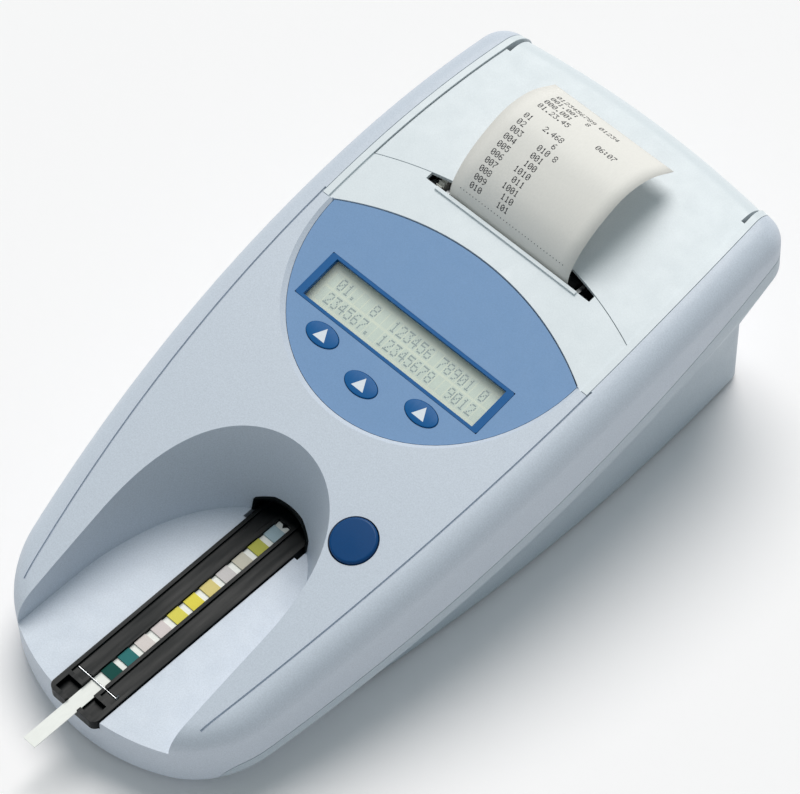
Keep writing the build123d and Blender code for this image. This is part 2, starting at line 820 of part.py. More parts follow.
# ---------------------------------------------------------------- tray, strip and transport
def rack_cutters():
    """Tooth spaces along the tray's left side, one of them facing the pinion."""
    pitch = pi * rack_module
    edge = -tray_width / 2
    pitch_line = edge + 0.8 * rack_module
    half = pitch / 4 + backlash / 2
    outer = half + (pitch_line - edge + 0.5) * tan(radians(20))
    root = pitch_line + 1.15 * rack_module
    inner = half - (root - pitch_line) * tan(radians(20))
    first = int((pinion_station - tray_travel - 6 - pinion_station) / pitch)
    last = int((tray_end - 2 - pinion_station) / pitch)
    cutters = []
    for index in range(first, last + 1):
        y = at(pinion_station + index * pitch)
        shape = Polyline((edge - 0.5, y - outer), (edge - 0.5, y + outer), (root, y + inner),
                         (root, y - inner), close=True)
        cutters.append(extrude(Pos(0, 0, tray_bottom - 0.5) * make_face(shape), amount=gear_thickness + 0.9))
    return cutters


def strip_tray():
    half = tray_width / 2
    body = block((-half, half), (tray_front, tray_end), (tray_bottom, tray_top))
    front_corners = [e for e in body.edges().filter_by(Axis.Z) if (e @ 0.5).Y < at(0)]
    body = fillet(front_corners, 3.0)
    groove_half = strip_width / 2 + 0.2
    body -= block((-groove_half, groove_half), (tray_front - 5, strip_end() + 0.2), (strip_seat, 40))
    wing = block((groove_half + 1.4, half - 1.5), (8.5, tray_end - 4), (tray_top - 0.9, 40))
    body -= mirrored(wing)
    body -= block((-half + 2.2, half - 2.2), (tray_front + 1.8, 6.8), (strip_seat - 0.8, 40))
    body -= block((-half + 1.8, half - 1.8), (clip_station - 0.5, clip_station + 0.5),
                  (strip_seat + strip_thickness, 40))
    for cutter in rack_cutters():
        body -= cutter
    return body


def strip_end():
    return first_pad + pad_count * pad_pitch


def test_strip():
    half = strip_width / 2
    strip = block((-half, half), (-handle_overhang, strip_end()), (strip_seat, strip_seat + strip_thickness))
    notch = Polyline((-1.2, at(strip_end()) + 0.1), (1.2, at(strip_end()) + 0.1), (0, at(strip_end()) - 1.4),
                     close=True)
    return strip - extrude(make_face(notch), amount=50)


def reagent_pads():
    half = strip_width / 2
    low = strip_seat + strip_thickness
    pads = []
    for index in range(pad_count):
        start = first_pad + index * pad_pitch
        pads.append(block((-half, half), (start, start + pad_length), (low, low + pad_thickness)))
    return Compound(pads)


def strip_clip():
    height = strip_seat + strip_thickness + clip_radius + 0.02
    half = tray_width / 2 - 2.0
    wire = cross_rod((-half, half), clip_station, height, clip_radius)
    rise = 1.6
    hook = Pos(half - clip_radius, at(clip_station), height) * (
        Rot(-35, 0, 0) * (Pos(0, 0, rise / 2) * Cylinder(clip_radius, rise)))
    return wire + hook


def tray_guide():
    base = block((-guide_half_width, guide_half_width), (guide_front, guide_rear),
                 (guide_top - guide_thickness, guide_top))
    inner = guide_half_width - guide_wall
    side = block((inner, guide_half_width), (guide_front, guide_rear), (guide_top, tray_top + 1.6))
    keeper = block((inner - 1.2, inner), (guide_front + 20, guide_rear), (tray_top + 0.2, tray_top + 1.6))
    window = block((-guide_half_width - 1, -inner + 2),
                   (pinion_station - 8.5, pinion_station + 8.5), (guide_top, 40))
    wings = block((-head_leg_x - 2, head_leg_x + 2), (head_front - 4, head_rear + 4),
                  (guide_top - guide_thickness, guide_top))
    tab = block((pinion_x - 5, -inner), (pinion_station - 6, pinion_station + 6),
                (guide_top - guide_thickness, guide_top))
    guide = base + mirrored(side + keeper) - window + wings + tab
    return guide - rod(pinion_x, pinion_station, (0, 30), axle_radius + axle_clearance)


head_leg_x = guide_half_width + 2.2


def transport_gear():
    low = guide_top + 0.2
    pinion = extrude(Pos(pinion_x, at(pinion_station), low) * gear_face(rack_module, pinion_teeth),
                     amount=gear_thickness)
    wheel = extrude(Pos(pinion_x, at(pinion_station), wheel_bottom) * gear_face(fine_module, wheel_teeth),
                    amount=motor_plate_height - wheel_bottom - 0.4)
    hub = rod(pinion_x, pinion_station, (low, wheel_bottom), 3.4)
    axle = rod(pinion_x, pinion_station,
               (guide_top - guide_thickness, motor_plate_height + chassis_plate), axle_radius)
    return pinion + wheel + hub + axle


def motor_pinion():
    gear = extrude(Pos(motor_x, at(pinion_station), wheel_bottom - 0.2)
                   * gear_face(fine_module, motor_teeth, 180 / motor_teeth),
                   amount=motor_plate_height - wheel_bottom - 0.2)
    return gear + rod(motor_x, pinion_station, (wheel_bottom, motor_plate_height + chassis_plate + 6), 1.0)


def motor_plate():
    plate = block((motor_x - 12.5, pinion_x + 4), (pinion_station - 12.8, pinion_station + 13),
                  (motor_plate_height, motor_plate_height + chassis_plate))
    plate -= block((pinion_x - 6, 0), (0, 110.5), (0, 60))
    plate -= rod(pinion_x, pinion_station, (0, 60), axle_radius + axle_clearance)
    return plate - rod(motor_x, pinion_station, (0, 60), 1.6)


def transport_motor():
    low = motor_plate_height + chassis_plate
    return (rod(motor_x, pinion_station, (low, low + motor_height), motor_radius)
            - rod(motor_x, pinion_station, (low - 1, low + 6.5), 1.05))


def head_bracket():
    top = block((-head_leg_x - 1.5, head_leg_x + 1.5), (head_front - 3, head_rear + 3),
                (head_bottom - 2, head_bottom))
    leg = block((head_leg_x - 0.5, head_leg_x + 1.5), (head_front - 3, head_rear + 3),
                (guide_top, head_bottom - 2))
    middle = (head_front + head_rear) / 2
    return top + mirrored(leg) - rod(0, middle, (0, 60), lens_radius + 1.6)


def reading_head():
    middle = (head_front + head_rear) / 2
    body = block((-14, 14), (head_front, head_rear), (head_bottom, head_bottom + head_height))
    body += rod(0, middle, (lens_bottom, head_bottom), lens_radius + 1.4)
    return body - rod(0, middle, (lens_bottom - 1, lens_bottom + 1.4), lens_radius)


head_middle = (head_front + head_rear) / 2
parts["strip_tray"] = strip_tray()
parts["test_strip"] = test_strip()
parts["reagent_pads"] = reagent_pads()
parts["strip_clip"] = strip_clip()
parts["tray_guide"] = tray_guide()
parts["transport_gear"] = transport_gear()
parts["motor_pinion"] = motor_pinion()
parts["motor_plate"] = motor_plate()
parts["transport_motor"] = transport_motor()
parts["head_bracket"] = head_bracket()
parts["reading_head"] = reading_head()
parts["head_lens"] = rod(0, head_middle, (lens_bottom + 0.2, lens_bottom + 1.4), lens_radius)
parts["head_board"] = block((-16, 16), (head_front - 2, head_rear + 2),
                            (head_bottom + head_height, head_bottom + head_height + board_thickness))


# ---------------------------------------------------------------- printer
def printer_chassis():
    half = chassis_half_width
    reach = chassis_posts[0][0] + 4
    chassis = block((min(chassis_left, -reach), reach), (chassis_front, chassis_rear),
                    (chassis_bottom, chassis_bottom + chassis_plate))
    for x in (-half, half - chassis_plate, chassis_left):
        chassis += block((x, x + chassis_plate), (chassis_front, chassis_rear), (chassis_bottom, chassis_top))
    chassis -= cross_rod((-span, span), platen_station, platen_height, shaft_radius + shaft_clearance)
    return chassis - cross_rod((chassis_left - 1, chassis_left + chassis_plate + 1), printer_motor_station,
                               printer_motor_height, 1.8)


def platen_roller():
    roller = cross_rod((-platen_length / 2, platen_length / 2), platen_station, platen_height, platen_radius)
    return roller + cross_rod((printer_gear_x, chassis_half_width + 1), platen_station, platen_height,
                              shaft_radius)


def gear_on_side(module, teeth, station, height, turn, thickness):
    """A gear in the YZ plane, whose local +X is the body's +Y."""
    plane = Plane(origin=(printer_gear_x, at(station), height), x_dir=(0, 1, 0), z_dir=(1, 0, 0))
    return extrude(plane * gear_face(module, teeth, turn), amount=thickness)


def platen_gear():
    gear = gear_on_side(fine_module, platen_teeth, platen_station, platen_height, motor_turn, gear_thickness)
    return gear - cross_rod((-60, 60), platen_station, platen_height, shaft_radius)


def printer_motor_pinion():
    gear = gear_on_side(fine_module, motor_teeth, printer_motor_station, printer_motor_height,
                        motor_turn + 180 + 180 / motor_teeth, gear_thickness)
    return gear + cross_rod((chassis_left - 6, printer_gear_x + 0.5), printer_motor_station,
                            printer_motor_height, 1.0)


def printer_motor():
    return (cross_rod((chassis_left - motor_height, chassis_left), printer_motor_station,
                      printer_motor_height, 7.5)
            - cross_rod((chassis_left - 6.5, chassis_left + 1), printer_motor_station,
                        printer_motor_height, 1.05))


def print_head():
    face = platen_station - platen_radius - 0.3
    inner = chassis_half_width - chassis_plate
    plate = block((-inner, inner), (face - head_thickness, face), (chassis_bottom + chassis_plate, chassis_top - 1))
    fins = [block((-inner + 4 + 7 * index, -inner + 6 + 7 * index),
                  (face - head_thickness - sink_thickness, face - head_thickness),
                  (chassis_bottom + chassis_plate, chassis_top - 4)) for index in range(8)]
    for fin in fins:
        plate += fin
    return plate


def paper_cradle():
    half = paper_width / 2 + 1.0
    outer = roll_radius + cradle_gap + cradle_thickness
    trough = cross_rod((-half - 1.5, half + 1.5), roll_station, roll_height, outer)
    trough -= cross_rod((-half, half), roll_station, roll_height, roll_radius + cradle_gap)
    return trough & block((-60, 60), (chassis_rear + 0.3, 290), (20, roll_height))


def paper_strip():
    """The printed paper: up out of the slot, over in a long curl and down towards the cover."""
    tops = [(215.2, 81.5), (217.6, 87.0), (224.0, 93.6), (234.0, 99.3), (245.0, 102.4), (257.0, 100.4),
            (269.0, 93.2)]
    path = Line((at(215.2), 76.8), (at(215.2), 81.5)) + Spline(
        *[(at(station), height) for station, height in tops], tangents=[(0, 1), (0.78, -0.62)])
    ribbon = trace(path, line_width=paper_thickness)
    return extrude(Plane.YZ * ribbon, amount=paper_width / 2, both=True)


parts["printer_chassis"] = printer_chassis()
parts["platen_roller"] = platen_roller()
parts["platen_gear"] = platen_gear()
parts["printer_motor_pinion"] = printer_motor_pinion()
parts["printer_motor"] = printer_motor()
parts["print_head"] = print_head()
parts["paper_cradle"] = paper_cradle()
paper_half = paper_width / 2
parts["paper_roll"] = (cross_rod((-paper_half, paper_half), roll_station, roll_height, roll_radius)
                       - cross_rod((-paper_half, paper_half), roll_station, roll_height, roll_core_radius))
parts["paper_strip"] = paper_strip()


# ---------------------------------------------------------------- electronics, feet and screws
def main_board():
    board = block((-main_board_half_width, main_board_half_width), (main_board_front, socket_rear - 2),
                  (main_board_height, main_board_height + board_thickness))
    for x, station in cradle_posts + chassis_posts:
        board -= mirrored(rod(x, station, (0, 30), 4.2))
    return board


def dc_socket():
    low = main_board_height + board_thickness
    body = block((dc_x - dc_width / 2, dc_x + dc_width / 2), (socket_rear - dc_depth, socket_rear),
                 (low, low + dc_height))
    body -= rear_rod(dc_x, (socket_rear - 9, socket_rear + 1), low + dc_height / 2, dc_bore)
    return body + rear_rod(dc_x, (socket_rear - 9.5, socket_rear - 1), low + dc_height / 2, 1.0)


def serial_socket():
    low = main_board_height + board_thickness
    middle = low + serial_height / 2
    body = block((serial_x - serial_width / 2, serial_x + serial_width / 2),
                 (socket_rear - serial_depth, socket_rear), (low, low + serial_height))
    body += block((serial_x - serial_shell_width / 2, serial_x + serial_shell_width / 2),
                  (socket_rear, tub_rear - 0.6), (middle - serial_shell_height / 2, middle + serial_shell_height / 2))
    for row, count, pitch in ((1.4, 5, 2.77), (-1.4, 4, 2.77)):
        for index in range(count):
            x = serial_x + (index - (count - 1) / 2) * pitch
            body -= rear_rod(x, (tub_rear - 5, tub_rear + 1), middle + row, 0.55)
    return body


def service_port():
    low = main_board_height + board_thickness
    middle = low + port_height / 2
    body = block((port_x - port_width / 2, port_x + port_width / 2), (socket_rear - 12, socket_rear),
                 (low, low + port_height))
    body += rear_rod(port_x, (socket_rear, tub_rear - 0.6), middle, port_radius)
    for turn in range(6):
        angle = radians(60 * turn + 30)
        body -= rear_rod(port_x + 2.8 * cos(angle), (tub_rear - 5, tub_rear + 1), middle + 2.8 * sin(angle), 0.6)
    return body


def screws():
    group = []
    for x, station in screw_places:
        head = rod(x, station, (screw_seat - screw_head_height, screw_seat), screw_head_radius)
        head -= block((x - 1.6, x + 1.6), (station - 0.35, station + 0.35), (0, screw_seat - 1))
        head -= block((x - 0.35, x + 0.35), (station - 1.6, station + 1.6), (0, screw_seat - 1))
        shank = rod(x, station, (screw_seat, screw_seat + screw_length - screw_head_height), screw_radius)
        screw = (head + shank).solids()[0]
        group += [screw, mirror(screw, about=Plane.YZ)]
    return Compound(group)


def feet():
    group = []
    for x, station in foot_places:
        foot = rod(x, station, (0, foot_height + foot_seat), foot_radius)
        foot = chamfer(foot.faces().sort_by(Axis.Z)[0].edges(), 0.5).solids()[0]
        group += [foot, mirror(foot, about=Plane.YZ)]
    return Compound(group)


parts["main_board"] = main_board()
parts["dc_socket"] = dc_socket()
parts["serial_socket"] = serial_socket()
parts["service_port"] = service_port()
parts["housing_screws"] = screws()
parts["rubber_feet"] = feet()

os.makedirs("parts", exist_ok=True)
for node, shape in parts.items():
    export_step(shape, "parts/" + node + ".step")
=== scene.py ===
"""A bench-top test strip reader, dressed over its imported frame."""

import json
from math import cos, radians, sin

import bmesh
import bpy
from bpy.props import FloatProperty, FloatVectorProperty, IntProperty, PointerProperty
from mathutils import Matrix, Vector

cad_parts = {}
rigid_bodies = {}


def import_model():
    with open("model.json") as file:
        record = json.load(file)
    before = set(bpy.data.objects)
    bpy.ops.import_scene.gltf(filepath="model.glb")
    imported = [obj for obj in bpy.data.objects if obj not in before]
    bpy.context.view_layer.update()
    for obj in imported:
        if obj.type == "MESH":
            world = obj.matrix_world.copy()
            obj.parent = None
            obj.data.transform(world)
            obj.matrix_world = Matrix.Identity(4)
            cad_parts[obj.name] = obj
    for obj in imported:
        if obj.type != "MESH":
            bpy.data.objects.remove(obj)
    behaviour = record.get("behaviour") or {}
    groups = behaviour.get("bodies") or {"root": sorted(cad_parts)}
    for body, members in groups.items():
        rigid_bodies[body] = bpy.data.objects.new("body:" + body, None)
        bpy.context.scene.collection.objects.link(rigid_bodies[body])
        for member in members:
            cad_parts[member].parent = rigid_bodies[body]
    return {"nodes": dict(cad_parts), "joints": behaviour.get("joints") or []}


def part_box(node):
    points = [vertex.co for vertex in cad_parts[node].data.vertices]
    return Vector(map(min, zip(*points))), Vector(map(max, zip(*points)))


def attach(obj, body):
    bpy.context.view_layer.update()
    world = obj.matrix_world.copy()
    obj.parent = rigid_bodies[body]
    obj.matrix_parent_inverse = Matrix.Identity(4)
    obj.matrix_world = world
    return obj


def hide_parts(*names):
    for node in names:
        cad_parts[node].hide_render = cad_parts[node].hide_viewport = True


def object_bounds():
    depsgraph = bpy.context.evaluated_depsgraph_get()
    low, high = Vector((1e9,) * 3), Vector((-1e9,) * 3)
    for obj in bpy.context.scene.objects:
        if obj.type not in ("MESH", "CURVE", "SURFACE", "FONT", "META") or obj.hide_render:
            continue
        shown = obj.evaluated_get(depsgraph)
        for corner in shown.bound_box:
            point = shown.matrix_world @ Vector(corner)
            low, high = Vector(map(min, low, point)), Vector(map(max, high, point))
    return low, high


bl_info = {
    "name": "Strip reader",
    "version": (1, 0, 0),
    "blender": (4, 5, 0),
    "location": "View3D > Sidebar > Reader",
    "description": "Dresses a bench-top test strip reader and sets its stage",
    "category": "Object",
}

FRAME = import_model()
CAD_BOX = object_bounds()
MM = 0.001

DECK_LENGTH = 290 * MM      # the deck ends at the rear of the frame's box
FACE_SLACK = 0.02 * MM      # points this close to a face's plane belong to the face
SMOOTH_ANGLE = 32.0         # degrees: gentler edges than this shade smooth
WIRE_ANGLE = 60.0           # the same for the few sides of the clip's thin wire
BEVEL_ANGLE = 38.0          # degrees: sharper edges than this are rounded
BEVEL_SEGMENTS = 2
NOISE_RANGE = (0.3, 0.7)    # where most of a noise's values lie
MIX_FACTOR, MIX_FIRST, MIX_SECOND, MIX_RESULT = 0, 6, 7, 2      # colour sockets of a Mix node


# ---------------------------------------------------------------- places read from the frame
def joint(name):
    return next(entry for entry in FRAME["joints"] if entry["name"] == name)


def vertices(node):
    return [vertex.co.copy() for vertex in FRAME["nodes"][node].data.vertices]


def face_centre(node, normal):
    """The middle of a node's face that reaches furthest along a normal."""
    points = vertices(node)
    reach = max(point.dot(normal) for point in points)
    face = [point for point in points if point.dot(normal) > reach - FACE_SLACK]
    low = Vector([min(point[axis] for point in face) for axis in range(3)])
    high = Vector([max(point[axis] for point in face) for axis in range(3)])
    return (low + high) / 2


def plane_matrix(centre, normal):
    """X stays across the reader, Y climbs its slope and Z follows the normal."""
    across = Vector((1, 0, 0))
    slope = normal.cross(across).normalized()
    matrix = Matrix((across, slope, normal)).transposed().to_4x4()
    matrix.translation = centre
    return matrix


PANEL_NORMAL = -Vector(joint("middle_key_press")["axis"]).normalized()
NOSE = CAD_BOX[1][1] - DECK_LENGTH


# ---------------------------------------------------------------- sizes and colours
def colour_property(name, text, rgb):
    return FloatVectorProperty(name=name, description=text, subtype="COLOR", size=3, min=0, max=1,
                               default=rgb)


def length_property(name, text, value):
    return FloatProperty(name=name, description=text, subtype="DISTANCE", unit="LENGTH",
                         default=value)


def seen(red, green, blue):
    """Linear light of a colour that is given as it looks, from 0 to 255."""
    def linear(value):
        value /= 255
        return value / 12.92 if value <= 0.04045 else ((value + 0.055) / 1.055) ** 2.4
    return linear(red), linear(green), linear(blue)


class ReaderColours(bpy.types.PropertyGroup):
    deck: colour_property("Deck", "Upper housing", seen(205, 212, 223))
    tub: colour_property("Tub", "Lower housing", seen(188, 198, 207))
    lid: colour_property("Printer cover", "Printer cover and bridge", seen(222, 228, 232))
    panel: colour_property("Panel", "Blue display panel", seen(121, 155, 196))
    accent: colour_property("Accent", "Keys, button and display frame", seen(4, 90, 152))
    button: colour_property("Button", "Start button", seen(2, 66, 120))
    mark: colour_property("Key mark", "Triangles on the keys", seen(226, 231, 238))
    display: colour_property("Display", "Liquid crystal background", seen(226, 232, 212))
    cell: colour_property("Display cell", "Empty character cells", seen(208, 220, 206))
    segment: colour_property("Display dot", "Dots of the characters", seen(104, 126, 130))
    tray: colour_property("Tray", "Tray and its hood", seen(3, 8, 10))
    strip: colour_property("Strip", "Test strip", seen(238, 238, 233))
    paper: colour_property("Paper", "Printer paper", seen(236, 232, 226))
    ink: colour_property("Ink", "Print on the paper", seen(52, 50, 56))
    steel: colour_property("Steel", "Plated steel", seen(188, 190, 192))
    board: colour_property("Board", "Circuit boards", seen(30, 96, 62))
    dark: colour_property("Dark plastic", "Inner mouldings", seen(48, 50, 54))
    nylon: colour_property("Nylon", "Gears", seen(232, 230, 222))
    rubber: colour_property("Rubber", "Feet and roller", seen(38, 38, 40))


class ReaderSizes(bpy.types.PropertyGroup):
    weld: length_property("Weld", "Points closer than this are joined", 0.002 * MM)
    edge: length_property("Edge", "Rounding of the housings' edges", 0.28 * MM)
    lid_edge: length_property("Lid edge", "Rounding of the printer cover and bridge", 0.2 * MM)
    panel_edge: length_property("Panel edge", "Rounding of the blue panel", 0.12 * MM)
    frame_edge: length_property("Frame edge", "Rounding of the display's frame", 0.05 * MM)
    tray_edge: length_property("Tray edge", "Rounding of the sliding tray", 0.12 * MM)
    hood_edge: length_property("Hood edge", "Rounding of the tray's hood", 0.15 * MM)
    mark: length_property("Key mark", "Width of a key's triangle", 5.6 * MM)
    film: length_property("Film", "Thickness of print and marks", 0.02 * MM)
    cell_pitch: length_property("Cell pitch", "Distance between display characters", 3.3 * MM)
    line_pitch: length_property("Line pitch", "Distance between display lines", 6.7 * MM)
    dot_pitch: length_property("Dot pitch", "Distance between display dots", 0.54 * MM)
    dot: length_property("Dot", "Width of a display dot", 0.46 * MM)
    print_pitch: length_property("Print pitch", "Distance between printed dots", 0.3 * MM)
    print_dot: length_property("Print dot", "Width of a printed dot", 0.33 * MM)
    print_line: length_property("Print line", "Distance between printed lines", 3.55 * MM)
    paper: length_property("Paper", "Thickness of the paper", 0.09 * MM)
    paper_steps: IntProperty(name="Paper steps", description="Facets along the curl",
                             default=96, min=12)


class ReaderStage(bpy.types.PropertyGroup):
    target: FloatVectorProperty(name="Target", description="Point the camera looks at", size=3,
                                subtype="TRANSLATION", default=(0.00672, 0.01857, 0.05384))
    distance: length_property("Distance", "From the camera to its target", 1.5136)
    azimuth: FloatProperty(name="Azimuth", description="Turn of the view", subtype="ANGLE",
                           default=radians(47.496))
    elevation: FloatProperty(name="Elevation", description="Height of the view", subtype="ANGLE",
                             default=radians(54.73))
    roll: FloatProperty(name="Roll", description="Tilt of the picture", subtype="ANGLE",
                        default=radians(-3.244))
    lens: FloatProperty(name="Lens", description="Focal length in millimetres", default=194.99)
    floor: colour_property("Floor", "Studio floor", (0.99, 0.957, 0.96))
    key: FloatProperty(name="Key", description="Strength of the main light", default=2.4)
    key_tint: colour_property("Key tint", "Colour of the main light", (1.0, 0.985, 0.96))
    key_from: FloatVectorProperty(name="Key from", description="Where the main light comes from",
                                  size=3, subtype="XYZ", default=(-0.36, 0.5, 1.0))
    softness: FloatProperty(name="Softness", description="Width of the main light", subtype="ANGLE",
                            default=radians(40))
    sky: FloatProperty(name="Sky", description="Strength of the surrounding light", default=0.34)
    sky_tint: colour_property("Sky tint", "Colour of the surrounding light", (0.82, 0.96, 1.0))


def colours():
    return bpy.context.scene.reader_colours


def sizes():
    return bpy.context.scene.reader_sizes


# ---------------------------------------------------------------- materials
class Finish:
    """One node material under construction."""

    def __init__(self, name, colour, roughness=0.5, **sockets):
        self.material = bpy.data.materials.new(name)
        self.material.use_nodes = True
        self.tree = self.material.node_tree
        self.shader = self.tree.nodes["Principled BSDF"]
        self.colour = tuple(colour)[:3]
        self.set("Base Color", (*self.colour, 1))
        self.set("Roughness", roughness)
        for socket, value in sockets.items():
            self.set(socket.replace("_", " "), value)
        self.place = self.node("ShaderNodeTexCoord").outputs["Object"]

    def set(self, socket, value):
        self.shader.inputs[socket].default_value = value

    def node(self, kind, **values):
        made = self.tree.nodes.new(kind)
        for key, value in values.items():
            if key in made.inputs:
                made.inputs[key].default_value = value
            else:
                setattr(made, key, value)
        return made

    def link(self, output, target):
        self.tree.links.new(output, target)

    def noise(self, size, detail=2.0, stretch=(1, 1, 1)):
        """Noise with features of a size in metres."""
        mapping = self.node("ShaderNodeMapping")
        mapping.inputs["Scale"].default_value = stretch
        self.link(self.place, mapping.inputs["Vector"])
        noise = self.node("ShaderNodeTexNoise", Scale=1 / size, Detail=detail)
        self.link(mapping.outputs["Vector"], noise.inputs["Vector"])
        return noise.outputs["Fac"]

    def ranged(self, value, low, high):
        ranged = self.node("ShaderNodeMapRange")
        ranged.inputs["From Min"].default_value, ranged.inputs["From Max"].default_value = NOISE_RANGE
        ranged.inputs["To Min"].default_value = low
        ranged.inputs["To Max"].default_value = high
        self.link(value, ranged.inputs["Value"])
        return ranged.outputs["Result"]

    def tint(self, value, amount):
        """Varies the colour by a share of its brightness."""
        mix = self.node("ShaderNodeMix", data_type="RGBA")
        dark = tuple(channel * (1 - amount) for channel in self.colour)
        light = tuple(min(1, channel * (1 + amount)) for channel in self.colour)
        mix.inputs[MIX_FIRST].default_value = (*dark, 1)
        mix.inputs[MIX_SECOND].default_value = (*light, 1)
        self.link(self.ranged(value, 0, 1), mix.inputs[MIX_FACTOR])
        self.link(mix.outputs[MIX_RESULT], self.shader.inputs["Base Color"])
        return self

    def rough(self, value, low, high):
        self.link(self.ranged(value, low, high), self.shader.inputs["Roughness"])
        return self

    def bump(self, value, depth, strength=1.0):
        bump = self.node("ShaderNodeBump", Distance=depth, Strength=strength)
        self.link(value, bump.inputs["Height"])
        if self.shader.inputs["Normal"].is_linked:
            before = self.shader.inputs["Normal"].links[0].from_socket
            self.link(before, bump.inputs["Normal"])
        self.link(bump.outputs["Normal"], self.shader.inputs["Normal"])
        return self


def moulded(name, colour, roughness=0.46, speckle=0.07):
    """Fine spark-eroded texture over a slightly uneven moulded colour."""
    finish = Finish(name, colour, roughness, Specular_IOR_Level=0.42)
    grain = finish.noise(0.5 * MM, 3)
    waves = finish.noise(26 * MM, 2)
    finish.tint(grain, speckle)
    finish.rough(finish.noise(7 * MM, 4), roughness - 0.05, roughness + 0.07)
    return finish.bump(grain, 0.035 * MM, 0.55).bump(waves, 0.05 * MM, 0.3).material


def glossy(name, colour, roughness, grain, coat):
    """Smooth plastic under a thin clear coat."""
    finish = Finish(name, colour, roughness, Specular_IOR_Level=0.2,
                    Coat_Weight=coat, Coat_Roughness=0.2)
    finish.tint(finish.noise(grain, 2), 0.05)
    finish.rough(finish.noise(6 * MM, 4), roughness - 0.04, roughness + 0.08)
    return finish.bump(finish.noise(grain, 2), 0.01 * MM, 0.3).material


def metal(name, colour, roughness=0.32):
    """Brushed metal, its streaks along X."""
    finish = Finish(name, colour, roughness, Metallic=1.0)
    brushed = finish.noise(1.2 * MM, 5, (0.06, 1, 1))
    finish.tint(brushed, 0.08)
    finish.rough(brushed, roughness - 0.08, roughness + 0.12)
    return finish.bump(brushed, 0.01 * MM, 0.4).material


def fibrous(name, colour, roughness=0.8, fibre=0.5 * MM, depth=0.02 * MM, tint=0.025):
    """Paper, film and print, with short fibres."""
    finish = Finish(name, colour, roughness, Specular_IOR_Level=0.25)
    fibres = finish.noise(fibre, 5, (1, 0.35, 1))
    finish.tint(fibres, tint)
    return finish.bump(fibres, depth, 0.5).material


def clear_sheet(name):
    """A clear window: it mostly lets light through, and keeps a soft gloss."""
    finish = Finish(name, (0.93, 0.96, 0.94), 0.06, Alpha=0.14,
                    Coat_Weight=0.6, Coat_Roughness=0.05)
    finish.rough(finish.noise(9 * MM, 3), 0.04, 0.1)
    finish.material.surface_render_method = "BLENDED"
    return finish.material


def circuit(name, colour):
    """Solder mask with faint tracks under it."""
    finish = Finish(name, colour, 0.35, Coat_Weight=0.4)
    tracks = finish.node("ShaderNodeTexBrick", Scale=1 / (2.4 * MM), offset=0.37)
    tracks.inputs["Mortar Size"].default_value = 0.06
    finish.link(finish.place, tracks.inputs["Vector"])
    finish.tint(tracks.outputs["Fac"], 0.35)
    return finish.bump(tracks.outputs["Fac"], 0.03 * MM, 0.5).material


PAD_COLOURS = (
    ("dark green", (26, 78, 72)), ("teal", (52, 118, 118)), ("rose white", (226, 216, 212)),
    ("pale rose", (224, 212, 210)), ("lemon", (230, 218, 98)), ("yellow", (236, 220, 88)),
    ("cream", (226, 208, 136)), ("pale grey", (212, 206, 204)), ("beige", (208, 202, 186)),
    ("olive", (188, 186, 88)), ("bluish white", (172, 192, 200)),
)
PAD_GAP = 2.5 * MM          # bare strip behind each pad
PAD_LEAD = 0.01             # a colour starts this share of the row before its pad


def pad_finish():
    """Absorbent pads, one colour each along the strip."""
    low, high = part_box("reagent_pads")
    finish = Finish("pads", (0.8, 0.75, 0.5), 0.85, Specular_IOR_Level=0.2)
    parts = finish.node("ShaderNodeSeparateXYZ")
    finish.link(finish.place, parts.inputs["Vector"])
    along = finish.node("ShaderNodeMapRange")
    along.inputs["From Min"].default_value = low.y
    along.inputs["From Max"].default_value = high.y + PAD_GAP
    finish.link(parts.outputs["Y"], along.inputs["Value"])
    bands = finish.node("ShaderNodeValToRGB")
    finish.link(along.outputs["Result"], bands.inputs["Fac"])
    ramp = bands.color_ramp
    ramp.interpolation = "CONSTANT"
    for index, (_, rgb) in enumerate(PAD_COLOURS):
        place = max(0.0, index / len(PAD_COLOURS) - PAD_LEAD)
        stop = ramp.elements[index] if index < 2 else ramp.elements.new(place)
        stop.position = place
        stop.color = (*seen(*rgb), 1)
    mix = finish.node("ShaderNodeMix", data_type="RGBA", blend_type="MULTIPLY")
    mix.inputs[MIX_FACTOR].default_value = 0.35
    finish.link(bands.outputs["Color"], mix.inputs[MIX_FIRST])
    weave = finish.noise(0.35 * MM, 4)
    grey = finish.node("ShaderNodeCombineColor")
    for channel in ("Red", "Green", "Blue"):
        finish.link(finish.ranged(weave, 0.72, 1.0), grey.inputs[channel])
    finish.link(grey.outputs["Color"], mix.inputs[MIX_SECOND])
    finish.link(mix.outputs[MIX_RESULT], finish.shader.inputs["Base Color"])
    return finish.bump(weave, 0.05 * MM, 0.7).material


def worn_black(name, colour):
    """Black moulding with a low sheen and rubbed streaks along its travel."""
    finish = Finish(name, colour, 0.34, Specular_IOR_Level=0.14)
    streaks = finish.noise(2.2 * MM, 5, (1, 0.08, 1))
    finish.tint(streaks, 0.3)
    finish.rough(streaks, 0.26, 0.48)
    return finish.bump(finish.noise(0.4 * MM, 3), 0.02 * MM, 0.5).material


# ---------------------------------------------------------------- mesh helpers
def mesh_object(name, mesh, material, body):
    """A piece of the scene that rides a body of the frame."""
    piece = bpy.data.objects.new(name, mesh)
    bpy.context.scene.collection.objects.link(piece)
    piece.data.materials.clear()
    piece.data.materials.append(material)
    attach(piece, body)
    return piece


def paint(nodes, material):
    """Gives CAD nodes a finish."""
    for name in nodes:
        node = FRAME["nodes"][name]
        node.data.materials.clear()
        node.data.materials.append(material)


def body_of(node):
    return FRAME["nodes"][node].parent.name.split(":", 1)[1]


